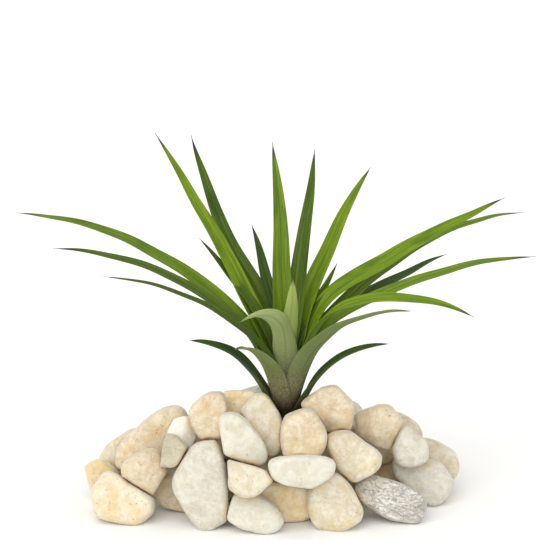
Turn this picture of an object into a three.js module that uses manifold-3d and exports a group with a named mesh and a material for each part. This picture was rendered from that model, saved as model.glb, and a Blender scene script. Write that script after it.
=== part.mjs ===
// An air plant: a rosette of narrow channelled leaves on a short stem, held upright by a heap of
// water-worn pebbles. Millimetres and degrees, +Z up. The origin is on the floor under the middle
// of the heap, +X runs to the right of the plant's best side and -Y to the front of it.
import * as THREE from "three";
import Module from "manifold-3d";
import { mergeVertices } from "three/addons/utils/BufferGeometryUtils.js";

const wasm = await Module();
wasm.setup();

const gap = 0.35; // kept between neighbouring pieces
const stemX = 6; // the stem stands a little right of the middle of the heap
const radians = THREE.MathUtils.degToRad;

// Leaves, from the youngest, innermost one to the oldest
// ring: how many millimetres of sheaths stand between the leaf and the heart of the rosette. azimuth: 0 is
// right, 90 is back, 180 is left. start, rise and droop: how far it points above the horizon at its foot,
// where it has leant out and at its tip. upright: how far it goes before it leans out. veer: how far it
// swings sideways by its tip. roll: turns the upper face about the blade's own line. width: at its widest.
const leaves = [
  { ring: 2.2, azimuth: 69, length: 98, upright: 11, rise: 64, droop: 72, width: 10.4 },
  { ring: 2.2, azimuth: 277, length: 51, upright: 14, rise: 59, droop: 60, width: 9 },
  { ring: 3.4, azimuth: 114, length: 72, upright: 12, rise: 55, droop: 51, width: 9 },
  { ring: 3.4, azimuth: 48, length: 57, upright: 15, rise: 37, droop: 49, width: 6.5, roll: 10 },
  { ring: 4.4, azimuth: 101, veer: 8, length: 104, upright: 19, rise: 84, droop: 72, width: 11 },
  { ring: 4.4, azimuth: 147, length: 75, upright: 17, rise: 48, droop: 43, width: 7.5, roll: -10 },
  { ring: 4.6, azimuth: 58, length: 111, upright: 23, rise: 53, droop: 35, width: 10, roll: 15 },
  { ring: 5.4, azimuth: 124, length: 126, upright: 32, rise: 28, droop: 66, width: 10, roll: -15 },
  { ring: 5.6, azimuth: 143, length: 126, upright: 11, rise: 59, droop: 49, width: 10.5, roll: -20 },
  { ring: 5.6, azimuth: 33, length: 144, upright: 36, rise: 23, droop: 15, width: 11, roll: 25 },
  { ring: 6.4, azimuth: 38, length: 159, upright: 13, rise: 44, droop: -5, width: 9, roll: 15 },
  { ring: 6.6, azimuth: 159, length: 153, upright: 17, rise: 49, droop: -2, width: 10, roll: -20 },
  { ring: 6.4, azimuth: 264, veer: -52, length: 69, upright: 17, start: 80, rise: 84, droop: -18,
    width: 12, roll: 50 },
  { ring: 7.4, azimuth: 43, length: 116, upright: 28, rise: 17, droop: 9, width: 9, roll: 15 },
  { ring: 7.4, azimuth: 183, length: 125, upright: 26, rise: 49, droop: 3, width: 9, roll: -20 },
  { ring: 7.4, azimuth: 92, length: 84, upright: 14, rise: 46, droop: 12, width: 9.5 },
  { ring: 7.4, azimuth: 9, length: 131, upright: 27, start: 75, rise: 34, droop: 1, width: 9, roll: 20 },
  { ring: 7.2, azimuth: 340, length: 108, upright: 34, start: 78, rise: 36, droop: -23, width: 9.5,
    roll: 25 },
  { ring: 8.2, azimuth: 203, length: 109, upright: 14, start: 83, rise: 53, droop: 9, width: 9.5,
    roll: 15 },
  { ring: 8.4, azimuth: 78, length: 70, upright: 12, rise: 38, droop: 4, width: 9 },
  { ring: 8.4, azimuth: 302, veer: 27, length: 95, upright: 13, start: 72, rise: 55, droop: 8, width: 13,
    roll: -5 },
  { ring: 9.6, azimuth: 240, length: 58.5, upright: 5, start: 74, rise: 72, droop: 8, width: 13 },
  { ring: 9.4, azimuth: 176, length: 51, upright: 16, start: 60, rise: 50, droop: 4, width: 11,
    roll: -10 },
  { ring: 9.6, azimuth: 345, veer: 15, length: 54, upright: 6, start: 64, rise: 67, droop: 4, width: 11,
    roll: 10 },
];

const rings = 11; // cross-sections along a leaf
const stepsPerRing = 8; // finer steps in which its line is worked out
const across = [-1, -1 / 3, 1 / 3, 1]; // places across it, as shares of half its width
const leanLength = 22; // length over which a leaf turns from its start to its own slope
const leanStart = 0.4; // share of the upright stretch after which the turn starts
const veerCurve = 1.5; // above 1 the sideways swing comes on late
const sheathLength = 26; // length over which its section changes from sheath to blade
const sheathWrap = radians(60); // half the angle that a sheath covers round the stem
const bladeCup = radians(38); // half the angle of the blade's channelled section
const taper = 0.56; // how long the blade keeps its width before the tip
const rollLength = 0.35; // share of the blade over which the roll comes on
const sheathThickness = 0.95;
const bladeThickness = 0.8;
const edgeThickness = 0.62;
const tipWidth = 0.9;

// Where the sheaths grow: the older, outer ones start lower on the stem, a little further out, and
// lean more.
const outerRing = 9.6;
const collarHeight = 40; // of the outermost sheaths' feet
const ringStep = 2.2; // height gained on the stem for each millimetre that a sheath sits further in
const heartRadius = 1.4; // of the middle line of a sheath at the very heart
const ringSpread = 0.35; // that a foot stands further out for each millimetre of ring
const heartStart = 88; // how far a sheath at the heart points above the horizon
const ringLean = 2.4; // degrees that a sheath leans out more for each millimetre of ring

function sheathFoot(ring) {
  return { radius: heartRadius + ring * ringSpread, height: collarHeight + (outerRing - ring) * ringStep };
}

// The frames that a leaf's sections stand on, from its foot to its tip.
function leafFrames(leaf) {
  const { azimuth, ring, length, upright, rise, droop, veer = 0, roll = 0 } = leaf;
  const start = leaf.start ?? heartStart - ring * ringLean;
  const way = radians(azimuth);
  const { radius, height } = sheathFoot(ring);
  const point = new THREE.Vector3(stemX + radius * Math.cos(way), radius * Math.sin(way), height);
  const steps = rings * stepsPerRing;
  const frames = [];
  for (let i = 0; i <= steps; i++) {
    const run = (length * i) / steps;
    const share = Math.max(0, (run - upright) / (length - upright));
    const leaning = THREE.MathUtils.smoothstep(run, upright * leanStart, upright + leanLength);
    const arch = rise + (droop - rise) * share;
    const climb = radians(start + (arch - start) * leaning);
    const heading = radians(azimuth + veer * share ** veerCurve);
    const out = new THREE.Vector3(Math.cos(heading), Math.sin(heading), 0);
    const along = out.clone().multiplyScalar(Math.cos(climb));
    along.z = Math.sin(climb);
    const side = new THREE.Vector3(-Math.sin(heading), Math.cos(heading), 0);
    side.applyAxisAngle(along, radians(roll) * THREE.MathUtils.smoothstep(share, 0, rollLength));
    const face = new THREE.Vector3().crossVectors(along, side);
    frames.push({ point: point.clone(), along, side, face, run, share });
    point.addScaledVector(along, length / steps);
  }
  return frames;
}

// Half the width of a leaf at a frame, and half the angle that its section curls through.
function leafSection(leaf, frame) {
  const sheathWidth = sheathFoot(leaf.ring).radius * sheathWrap;
  const bladeWidth = (leaf.width / 2) * (1 - frame.share) ** taper;
  const open = THREE.MathUtils.smoothstep(frame.run, 0, sheathLength);
  const half = Math.max(tipWidth / 2, sheathWidth * (1 - open) + bladeWidth * open);
  return { half, curl: sheathWrap * (1 - open) + bladeCup * open, open };
}

// A closed leaf: rings of points round its section, joined from foot to tip. swell fattens it all over.
function leafSolid(leaf, swell = 0) {
  const all = leafFrames(leaf);
  const positions = [];
  for (let i = 0; i < rings; i++) {
    const frame = all[i * stepsPerRing + (i === rings - 1 ? stepsPerRing : 0)];
    const { half, curl, open } = leafSection(leaf, frame);
    const radius = half / curl;
    const middle = sheathThickness + (bladeThickness - sheathThickness) * open;
    const lengthwise = swell * (i === 0 ? -1 : i === rings - 1 ? 1 : 0);
    for (const upper of [true, false]) {
      for (const u of upper ? across : [...across].reverse()) {
        const thick = middle + (edgeThickness - middle) * u * u + 2 * swell;
        const edge = Math.abs(u) === 1 ? Math.sign(u) : 0;
        const angle = curl * u + (swell * edge) / radius;
        const reach = radius + (upper ? -thick / 2 : thick / 2);
        const p = frame.point.clone();
        p.addScaledVector(frame.face, radius - reach * Math.cos(angle));
        p.addScaledVector(frame.side, reach * Math.sin(angle));
        p.addScaledVector(frame.along, lengthwise);
        positions.push(p.x, p.y, p.z);
      }
    }
  }
  const loop = 2 * across.length;
  const index = [];
  for (let i = 0; i < rings - 1; i++) {
    for (let k = 0; k < loop; k++) {
      const a = i * loop + k;
      const b = i * loop + ((k + 1) % loop);
      const c = a + loop;
      const d = b + loop;
      if (k < across.length) index.push(a, d, b, a, c, d);
      else index.push(a, c, b, b, c, d); // the other diagonal, so that both faces fold alike
    }
  }
  const last = (rings - 1) * loop;
  for (let k = 0; k < across.length - 1; k++) {
    const below = loop - 1 - k;
    index.push(k, k + 1, below - 1, k, below - 1, below);
    index.push(last + k, last + below - 1, last + k + 1, last + k, last + below, last + below - 1);
  }
  return toSolid(positions, index);
}

function toSolid(positions, index) {
  const vertProperties = new Float32Array(positions);
  return new wasm.Manifold(new wasm.Mesh({ numProp: 3, vertProperties, triVerts: new Uint32Array(index) }));
}

// The stem: woody, thickest under the lowest sheaths and slim in the heart of the rosette.
const stemSides = 16;
const stemClearance = 0.9; // from a sheath's middle line to the stem
function stemSolid(swell = 0) {
  const lowest = sheathFoot(outerRing);
  const highest = sheathFoot(leaves[0].ring);
  const crown = highest.height + 1;
  const profile = [ // radius and height
    [1.6, 25.4],
    [3.2, 27],
    [3.8, 32],
    [3.5, 37.5],
    [lowest.radius - stemClearance, lowest.height - 1],
    [highest.radius - stemClearance, crown],
  ];
  const positions = [];
  for (const [radius, height] of profile) {
    for (let k = 0; k < stemSides; k++) {
      const angle = (2 * Math.PI * k) / stemSides;
      const reach = radius + swell;
      positions.push(stemX + reach * Math.cos(angle), reach * Math.sin(angle), height);
    }
  }
  const top = profile.length - 1;
  const middles = [positions.length / 3, positions.length / 3 + 1];
  positions.push(stemX, 0, profile[0][1] - swell, stemX, 0, crown + swell);
  const index = [];
  for (let k = 0; k < stemSides; k++) {
    const next = (k + 1) % stemSides;
    for (let i = 0; i < top; i++) {
      const a = i * stemSides;
      index.push(a + k, a + next, a + stemSides + next, a + k, a + stemSides + next, a + stemSides + k);
    }
    index.push(middles[0], next, k, middles[1], top * stemSides + k, top * stemSides + next);
  }
  return toSolid(positions, index);
}

function overlaps(a, b) {
  const boxA = a.boundingBox();
  const boxB = b.boundingBox();
  return [0, 1, 2].every((i) => boxA.min[i] < boxB.max[i] && boxB.min[i] < boxA.max[i]);
}

function largestPiece(solid) {
  return solid.decompose().sort((a, b) => b.volume() - a.volume())[0];
}

// Pebbles
// The first 26 make the front of the heap, from left to right and down. at: the middle of the stone.
// outline: the corners of its broad face, to the right of its middle and up, anticlockwise from the left.
// That face looks to the front and a little up. seed: picks the flats that the water wore on its faces.
const stones = [
  { at: [-73, 2.5, 9], thickness: 15, seed: 11, tone: "straw",
    outline: [[-7.5, 6.5], [-5.5, -1.5], [-3, -10], [6.5, -8], [7.5, 4], [0, 10], [-3.5, 10]] },
  { at: [-62.5, -20.5, 10], thickness: 16, seed: 12, tone: "straw",
    outline: [[-13, 4], [-12, -7], [-3.5, -10], [6.5, -11], [13, -5.5], [12.5, 0], [-4.5, 11], [-8, 11]] },
  { at: [-67, 8, 22], thickness: 15, seed: 13, tone: "cream",
    outline: [[-8, -3.5], [-6, -9], [0, -11], [6, -4], [8, 8.5], [4.5, 8], [-5, 1.5]] },
  { at: [-50, 4, 28.5], thickness: 18, seed: 14, tone: "tan",
    outline: [[-15.5, -12], [-10, -14], [2, -11], [11, -2.5], [15.5, 5], [14.5, 11],
      [10, 13.5], [4, 12], [-7, 4], [-14.5, -4]] },
  { at: [-54, -14, 18], thickness: 16, seed: 15, tone: "tan",
    outline: [[-9.5, 2], [-9, -1.5], [-3, -6], [3, -9.5], [9.5, 0.5], [6.5, 7.5], [2.5, 9.5], [-6, 6]] },
  { at: [-40.5, -5.5, 7.5], thickness: 16, seed: 16, tone: "tan",
    outline: [[-11.5, -1], [-5.5, -7.5], [6, -9], [11.5, 0], [8.5, 8.5], [-0.5, 9],
      [-7, 6.5], [-10.5, 3]] },
  { at: [-40, -13, 27.5], thickness: 11, seed: 17, tone: "ash",
    outline: [[-5.5, -6.5], [-1.5, -7], [1.5, -6], [5.5, 1.5], [1, 6.5], [-2.5, 7], [-4.5, 1.5]] },
  { at: [-38, -7, 34.5], thickness: 9, seed: 18, tone: "ivory",
    outline: [[-6, 0.5], [-5, -4], [-1.5, -6.5], [3.5, -6.5], [6, -1.5], [5.5, 3.5], [1.5, 6.5],
      [-3.5, 5.5]] },
  { at: [-27.5, -8, 41.5], thickness: 13, seed: 19, tone: "tan",
    outline: [[-8, 1.5], [-6, -6], [-2.5, -10], [6, -9], [8, 4.5], [5.5, 10], [0, 10], [-6.5, 5]] },
  { at: [-15, -4, 45.5], thickness: 13, seed: 20, tone: "tan",
    outline: [[-9.5, -2], [-7, -5], [-1.5, -5.5], [5, -3.5], [9.5, 3], [7, 5.5], [-5, 5.5], [-8.5, 1.5]] },
  { at: [-4, -17, 40.5], thickness: 13, seed: 21, tone: "cream",
    outline: [[-9, 6], [2, -13], [6, -13], [9, -7.5], [9, 0], [7, 5], [1.5, 12.5], [-3, 13], [-6.5, 9.5]] },
  { at: [-12.5, -27, 37], thickness: 12, seed: 22, tone: "ivory",
    outline: [[-10, 6], [-7.5, -6], [3.5, -11], [8.5, -10.5], [10, -6.5], [7, 0.5],
      [0, 9], [-5, 11], [-9, 9.5]] },
  { at: [-30.5, -25, 17.5], thickness: 13, seed: 23, tone: "ash",
    outline: [[-11.5, 2.5], [-11, -2], [-1.5, -16.5], [2, -19], [11.5, -14], [11.5, 6],
      [7, 19], [1, 19], [-3.5, 16.5]] },
  { at: [-9, -32, 23], thickness: 14, seed: 24, tone: "cream",
    outline: [[-9, 7.5], [-8.5, -4], [-3, -7.5], [3, -6.5], [9, -0.5], [6, 3.5], [-2.5, 6]] },
  { at: [-8, -31, 7], thickness: 15, seed: 25, tone: "ivory",
    outline: [[-11.5, -2.5], [-7.5, -5.5], [3.5, -8.5], [9, -7], [11.5, -2.5], [8.5, 2.5],
      [0, 8], [-6, 8.5], [-9, 7]] },
  { at: [1, -15, 7.5], thickness: 15, seed: 26, tone: "tan",
    outline: [[-18, 0], [-15, -5], [-2, -8], [13, -7], [18, -1.5], [14.5, 6.5], [-1, 8], [-13, 5.5]] },
  { at: [11.5, -30, 25], thickness: 13, seed: 27, tone: "ivory",
    outline: [[-13.5, 2.5], [-11.5, -2.5], [-6, -5.5], [4, -6.5], [11, -3], [13.5, 1.5],
      [12.5, 5], [8, 6.5], [-8, 6.5], [-12.5, 5]] },
  { at: [12.5, -19, 36.5], thickness: 14, seed: 28, tone: "tan",
    outline: [[-9.5, 0], [-8, -8.5], [-1, -11], [7, -8.5], [9.5, -3.5], [9.5, 2], [4, 10.5],
      [0, 11], [-7.5, 8]] },
  { at: [23, -3, 43], thickness: 15, seed: 29, tone: "tan",
    outline: [[-11, 2.5], [-10, -0.5], [-3, -9], [3, -10], [9.5, -8.5], [11, -3], [11, 2.5],
      [3.5, 10], [-2, 9.5]] },
  { at: [33, -19, 27.5], thickness: 15, seed: 30, tone: "cream",
    outline: [[-11.5, 7], [-10, 1], [-3.5, -8.5], [0.5, -10.5], [8, -7], [11.5, -2.5],
      [11.5, 1], [-1.5, 10.5], [-9.5, 10]] },
  { at: [45.5, 2, 33.5], thickness: 14, seed: 31, tone: "tan",
    outline: [[-10, 4.5], [-8.5, -3.5], [-0.5, -8.5], [4.5, -9.5], [10, 2.5], [5, 9], [0, 9.5], [-5, 8]] },
  { at: [57.5, 3, 26], thickness: 12, seed: 32, tone: "ash",
    outline: [[-7.5, -1], [-5.5, -7.5], [1.5, -8.5], [7.5, -5.5], [7, 2], [-1.5, 8.5], [-3.5, 7]] },
  { at: [73, 10, 16], thickness: 14, seed: 33, tone: "cream",
    outline: [[-7.5, 9.5], [-5, -4.5], [3, -9.5], [7, -6.5], [7.5, -0.5], [5.5, 4], [-2.5, 8.5]] },
  { at: [64.5, 5.5, 9], thickness: 16, seed: 34, tone: "ash",
    outline: [[-13, 6.5], [-11.5, 1], [0.5, -9.5], [5.5, -10.5], [11, -6], [13, -0.5],
      [7.5, 7.5], [-4.5, 10.5], [-11, 9.5]] },
  { at: [49, -19.5, 9], thickness: 15, seed: 35, tone: "slate",
    outline: [[-15, 4], [-13, -0.5], [-1.5, -8], [10.5, -10], [15, -5.5], [14.5, 0],
      [7.5, 5], [-8.5, 10], [-13.5, 8]] },
  { at: [26, -29, 10.5], thickness: 15, seed: 36, tone: "cream",
    outline: [[-11.5, -1.5], [-10, -7.5], [-5.5, -11.5], [3.5, -12], [10.5, -7.5],
      [11.5, -3], [5, 8.5], [0.5, 12], [-6.5, 10.5], [-11, 4]] },
  ...backStones(),
];

// The stones of the back are rounder. size: length, width and thickness. turn: of the length, anticlockwise
// as seen from the front. lean: how far the broad face looks up. yaw: and how far it looks to the right.
function backStones() {
  return [
    { at: [-50, 27, 10], size: [36, 20, 22], turn: 4, yaw: 150, seed: 37, tone: "honey" },
    { at: [-17, 38, 13], size: [36, 26, 21], turn: -12, lean: 10, yaw: 170, seed: 38, tone: "cream" },
    { at: [17, 44, 13], size: [38, 25, 22], turn: 10, lean: 10, yaw: 185, seed: 39, tone: "ash" },
    { at: [48, 30, 13], size: [36, 26, 21], turn: -6, lean: 5, yaw: 210, seed: 40, tone: "tan" },
    { at: [-30, 19, 23], size: [30, 22, 17], turn: 14, lean: 40, yaw: 160, seed: 41, tone: "straw" },
    { at: [-14, 22, 33], size: [28, 21, 17], turn: -14, lean: 35, yaw: 175, seed: 42, tone: "ivory" },
    { at: [25, 23, 27], size: [31, 22, 17], turn: 12, lean: 35, yaw: 190, seed: 43, tone: "cream" },
    { at: [44, 26, 20], size: [20, 14, 13], turn: 8, lean: 20, yaw: 205, seed: 44, tone: "tan" },
  ];
}

// Stones inside the heap, and the small ones that fill chinks of its front: they hold together as one body.
// The first one stands under the stem and stays where it is.
const coreStones = [
  { at: [3, 2, 11], size: [32, 26, 24], yaw: 10, seed: 51, pinned: true },
  { at: [-28, 8, 9], size: [26, 18, 15], turn: 5, yaw: -15, seed: 52 },
  { at: [-51, 8, 8], size: [18, 15, 11], turn: 6, seed: 54 },
  { at: [34, 9, 10], size: [28, 20, 22], turn: -5, yaw: 20, seed: 53 },
  { at: [59, 14, 9], size: [22, 17, 18], lean: 5, yaw: 20, seed: 55 },
  { at: [-16, 1, 27], size: [22, 17, 15], lean: 10, yaw: 20, seed: 58 },
  { at: [27, 8, 26], size: [24, 16, 20], lean: 10, yaw: -20, seed: 59 },
  { at: [-37, 1, 22], size: [16, 15, 11], seed: 60 },
  { at: [46, 8, 19], size: [22, 18, 18], turn: 10, lean: 10, seed: 63 },
  { at: [32, -8, 13], size: [22, 18, 14], turn: -8, seed: 64 },
  { at: [2, -13, 24], size: [20, 12, 13], seed: 65 },
  { at: [0, 20, 11], size: [26, 20, 16], seed: 66 },
  { at: [6, 15, 30], size: [24, 16, 15], lean: 10, seed: 68 },
  { at: [56, -8, 23], size: [13, 10, 10], turn: 80, lean: 10, seed: 61 },
  { at: [54, -12, 19], size: [11, 9, 9], lean: 10, seed: 62 },
  { at: [54, -3, 30], size: [14, 9, 10], lean: 10, seed: 67 },
];

const tones = {
  ivory: 0xebe4d2,
  cream: 0xe8dab9,
  straw: 0xe6d3a3,
  honey: 0xd9ba86,
  tan: 0xd8bf9a,
  ash: 0xdcd6c8,
  slate: 0xc8c3b9,
};

// A repeatable run of numbers from 0 to 1.
function randomFrom(seed) {
  let state = seed * 2654435761;
  return () => {
    state = (Math.imul(state ^ (state >>> 15), 2246822519) + 3266489917) >>> 0;
    return ((state ^ (state >>> 13)) >>> 0) / 4294967296;
  };
}

const faceUp = 13; // how far the outlined faces look up

// A flat is a vector that faces out of it, and its length is one over its distance from the stone's middle.
// A stone has its two broad faces, which are always worn, and more that mostly face as they do.
const wornFlats = 4;
const flatNear = 0.74;
const flatFar = 0.95;
const broadNear = 0.82;
const steepest = 0.78; // how squarely a worn flat of an outlined stone faces front or back at the least
function flatsOf(stone) {
  const random = randomFrom(stone.seed);
  const flats = [-1, 1].map((side) => new THREE.Vector3(0, side / broadNear, 0));
  for (let i = 0; i < wornFlats; i++) {
    const draw = 2 * random() - 1;
    const height = stone.outline ? Math.sign(draw) * (steepest + (1 - steepest) * Math.abs(draw)) : draw;
    const angle = 2 * Math.PI * random();
    const level = Math.sqrt(1 - height * height);
    const flat = new THREE.Vector3(level * Math.cos(angle), height, level * Math.sin(angle));
    flats.push(flat.divideScalar(flatNear + (flatFar - flatNear) * random()));
  }
  return flats;
}

// The sides of an outline, as flats of a stone of unit size.
function sidesOf({ outline }, length, width) {
  const corners = outline.map(([x, z]) => new THREE.Vector2((2 * x) / length, (2 * z) / width));
  return corners.map((corner, i) => {
    const next = corners[(i + 1) % corners.length];
    const away = new THREE.Vector2(next.y - corner.y, corner.x - next.x);
    away.divideScalar(away.dot(corner));
    return new THREE.Vector3(away.x, 0, away.y);
  });
}

// Joins measures of how far out a point lies, each with the way in which it grows, into one: the larger the
// power, the sharper the edge where they meet.
function blend(measures, power) {
  const value = measures.reduce((sum, measure) => sum + measure.value ** power, 0) ** (1 / power);
  const slope = new THREE.Vector3();
  for (const measure of measures) {
    if (measure.value > 0) slope.addScaledVector(measure.slope, (measure.value / value) ** (power - 1));
  }
  return { value, slope };
}

function reachPast(flats, point) {
  return flats.map((flat) => ({ value: Math.max(0, flat.dot(point)), slope: flat }));
}

// How far out a point lies on a stone of unit size, 1 on its skin: a blunt pillow with its flats.
const bluntness = 3.2;
const roundness = 10;
const cornerSharpness = 12;
const roundSides = [[1, 0, 0], [-1, 0, 0], [0, 0, 1], [0, 0, -1]].map((side) => new THREE.Vector3(...side));
const broadSides = [new THREE.Vector3(0, 1, 0), new THREE.Vector3(0, -1, 0)];
function gaugeAt({ sides, flats }, point) {
  const around = sides
    ? blend(reachPast(sides, point), cornerSharpness)
    : blend(reachPast(roundSides, point), bluntness);
  const pillow = blend([around, ...reachPast(broadSides, point)], bluntness);
  return blend([pillow, ...reachPast(flats, point)], roundness);
}

// Everything needed to place a stone and to measure how near another one comes to it.
const outerBall = weldedBall(2);
const innerBall = weldedBall(1);
function weldedBall(detail) {
  const geometry = new THREE.IcosahedronGeometry(1, detail);
  geometry.deleteAttribute("normal");
  geometry.deleteAttribute("uv");
  return mergeVertices(geometry);
}

function about(x, y, z, degrees) {
  return new THREE.Quaternion().setFromAxisAngle(new THREE.Vector3(x, y, z), radians(degrees));
}

function prepare(stone, core) {
  const { outline, turn = 0, lean = outline ? faceUp : 0, yaw = 0 } = stone;
  const [length, width, thickness] = stone.size ?? [spanOf(outline, 0), spanOf(outline, 1),
    stone.thickness];
  const shape = { flats: flatsOf(stone), sides: outline && sidesOf(stone, length, width) };
  const ball = core ? innerBall : outerBall;
  const points = [];
  const box = new THREE.Box3();
  for (let i = 0; i < ball.attributes.position.count; i++) {
    const direction = new THREE.Vector3().fromBufferAttribute(ball.attributes.position, i);
    const point = direction.clone().divideScalar(gaugeAt(shape, direction).value);
    points.push(point);
    box.expandByPoint(point);
  }
  const span = box.getSize(new THREE.Vector3());
  const scale = new THREE.Vector3(length / span.x, thickness / span.y, width / span.z);
  const spin = about(0, 0, 1, yaw).multiply(about(-1, 0, 0, lean)).multiply(about(0, -1, 0, turn));
  const middle = new THREE.Vector3(...stone.at);
  const skin = points.map((p) => p.clone().multiply(scale).applyQuaternion(spin));
  return {
    ...stone, ...shape, core, ball, scale, spin, skin, middle,
    home: middle.clone(),
    back: spin.clone().invert(),
    reach: Math.max(...skin.map((p) => p.length())),
    bottom: Math.min(...skin.map((p) => p.z)),
  };
}

function spanOf(outline, axis) {
  const places = outline.map((corner) => corner[axis]);
  return Math.max(...places) - Math.min(...places);
}

// How deep a point lies in a stone, below zero outside it, and the shortest way out.
function inside(stone, point) {
  const local = point.clone().sub(stone.middle).applyQuaternion(stone.back).divide(stone.scale);
  const { value, slope } = gaugeAt(stone, local);
  slope.divide(stone.scale).applyQuaternion(stone.spin);
  const steep = slope.length();
  return { depth: (1 - value) / steep, out: slope.divideScalar(steep) };
}

// The deepest of a set of points in a stone, which are given from a middle of their own.
function deepest(stone, points, middle, space) {
  let worst = { depth: 0 };
  const world = new THREE.Vector3();
  for (const point of points) {
    world.copy(point).add(middle);
    if (world.distanceTo(stone.middle) > stone.reach + space) continue;
    const hit = inside(stone, world);
    if (hit.depth + space > worst.depth) worst = { depth: hit.depth + space, out: hit.out };
  }
  return worst;
}

// Lets the stones find room: each is drawn to its own place and pushed off the ones that it meets.
const settleRounds = 160;
const restingRounds = 60; // the last rounds, in which nothing is drawn any more
const stoneGap = 0.6;
const coreBite = 1.6; // how far the inner stones sit into each other
const leafSpace = 1.3; // from a leaf's middle to a stone
const floorFlat = 1.2; // height worn off a stone that lies on the floor
const huddle = 0.15; // that the inner stones close up in each round
const floorReach = 4; // a stone that is seen this near the floor lies on it
const skinDraw = 0.2; // share of its way home that a stone of the heap's skin takes in each round
const coreDraw = 0.04; // and an inner one
const depthDraw = 0.1; // of that share along the line of sight, where its place matters less
const coreYield = 9; // how much more readily an inner stone gives way than one of the skin
const groundedYield = 0.3; // and a stone of the skin that lies on the floor
const broadside = 0.12; // of a push that a stone of the skin takes across the line of sight
const sight = new THREE.Vector3(0, Math.cos(radians(faceUp)), -Math.sin(radians(faceUp)));
function shift(stone, move, acrossShare, alongShare) {
  const along = sight.clone().multiplyScalar(move.dot(sight));
  stone.middle.addScaledVector(move.clone().sub(along), acrossShare).addScaledVector(along, alongShare);
}

function push(stone, way, distance) {
  if (stone.pinned) return;
  shift(stone, way.clone().multiplyScalar(distance), stone.core ? 1 : broadside, 1);
}

function yieldOf(stone) {
  if (stone.core) return coreYield;
  return stone.grounded ? groundedYield : 1;
}

function settle(all, leafPoints) {
  const origin = new THREE.Vector3();
  for (const stone of all) {
    stone.low = -stone.bottom - floorFlat;
    stone.grounded = stone.home.z < stone.low + floorReach;
    if (stone.grounded) stone.home.z = stone.low;
    stone.middle.copy(stone.home);
  }
  const hub = all.find((stone) => stone.pinned);
  for (let round = 0; round < settleRounds; round++) {
    const drawn = round < settleRounds - restingRounds;
    for (const stone of all) {
      if (stone.core) push(stone, hub.middle.clone().sub(stone.middle).normalize(), huddle);
      if (stone.pinned || !drawn) continue;
      const strength = stone.core ? coreDraw : skinDraw;
      shift(stone, stone.home.clone().sub(stone.middle), strength, strength * depthDraw);
    }
    for (let i = 0; i < all.length; i++) {
      for (let k = i + 1; k < all.length; k++) {
        const a = all[i];
        const b = all[k];
        if (a.middle.distanceTo(b.middle) > a.reach + b.reach + stoneGap) continue;
        const space = a.core && b.core ? -coreBite : stoneGap;
        const aInB = deepest(b, a.skin, a.middle, space);
        const bInA = deepest(a, b.skin, b.middle, space);
        const hit = aInB.depth > bInA.depth ? aInB : { depth: bInA.depth, out: bInA.out?.negate() };
        if (!(hit.depth > 0)) continue;
        const shareA = yieldOf(a) / (yieldOf(a) + yieldOf(b));
        push(a, hit.out, hit.depth * shareA);
        push(b, hit.out, -hit.depth * (1 - shareA));
      }
    }
    for (const stone of all) {
      const hit = deepest(stone, leafPoints, origin, leafSpace);
      if (hit.depth > 0) push(stone, hit.out, -hit.depth);
      stone.middle.z = stone.grounded ? stone.low : Math.max(stone.middle.z, stone.low);
    }
  }
}

function stoneSolid(stone) {
  const positions = stone.skin.flatMap((p) => p.clone().add(stone.middle).toArray());
  return toSolid(positions, stone.ball.index.array).trimByPlane([0, 0, 1], 0);
}

// Points on the middle lines and edges of the leaves, and on the stem, that the stones keep clear of.
const stoneTop = 66; // no stone comes near this height
function plantPoints() {
  const points = [];
  for (const leaf of leaves) {
    for (const frame of leafFrames(leaf)) {
      if (frame.point.z > stoneTop) continue;
      const { half, curl } = leafSection(leaf, frame);
      const radius = half / curl;
      for (const u of [-1, 0, 1]) {
        const p = frame.point.clone();
        p.addScaledVector(frame.face, radius - radius * Math.cos(curl * u));
        p.addScaledVector(frame.side, radius * Math.sin(curl * u));
        points.push(p);
      }
    }
  }
  const stem = stemSolid().getMesh().vertProperties;
  for (let i = 0; i < stem.length; i += 3) points.push(new THREE.Vector3(stem[i], stem[i + 1],
    stem[i + 2]));
  return points;
}

const part = new THREE.Group();
function addPiece(name, solid, colour, roughness) {
  const { vertProperties, triVerts } = solid.getMesh();
  const geometry = new THREE.BufferGeometry();
  geometry.setAttribute("position", new THREE.BufferAttribute(vertProperties, 3));
  geometry.setIndex(new THREE.BufferAttribute(triVerts, 1));
  const material = new THREE.MeshStandardMaterial({ color: colour, roughness, metalness: 0 });
  const mesh = new THREE.Mesh(geometry, material);
  mesh.name = name;
  part.add(mesh);
}

function numbered(name, i) {
  return name + "_" + String(i + 1).padStart(2, "0");
}

const barkRoughness = 0.9;
const leafRoughness = 0.5;
const stoneRoughness = 0.75;
const bark = 0x6b5a45;
addPiece("stem", stemSolid(), bark, barkRoughness);

const youngLeaf = new THREE.Color(0x7fae35);
const oldLeaf = new THREE.Color(0x4f7034);
const further = [stemSolid(gap)]; // swollen copies of what stands further in
leaves.forEach((leaf, i) => {
  let solid = leafSolid(leaf);
  for (const other of further) {
    if (overlaps(solid, other)) solid = solid.subtract(other);
  }
  further.push(leafSolid(leaf, gap));
  const colour = youngLeaf.clone().lerp(oldLeaf, leaf.ring / outerRing);
  addPiece(numbered("leaf", i), largestPiece(solid), colour, leafRoughness);
});

const outer = stones.map((stone) => prepare(stone, false));
const inner = coreStones.map((stone) => prepare(stone, true));
settle([...outer, ...inner], plantPoints());
outer.forEach((stone, i) => addPiece(numbered("pebble", i), stoneSolid(stone), tones[stone.tone],
    stoneRoughness));
const core = inner.map(stoneSolid).reduce((joined, solid) => joined.add(solid));
addPiece("pebble_core", largestPiece(core), tones.tan, stoneRoughness);

export default part;
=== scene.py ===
# An air plant on a heap of pebbles, dressed for rendering. Metres, +Z up.
import math
import random

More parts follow.
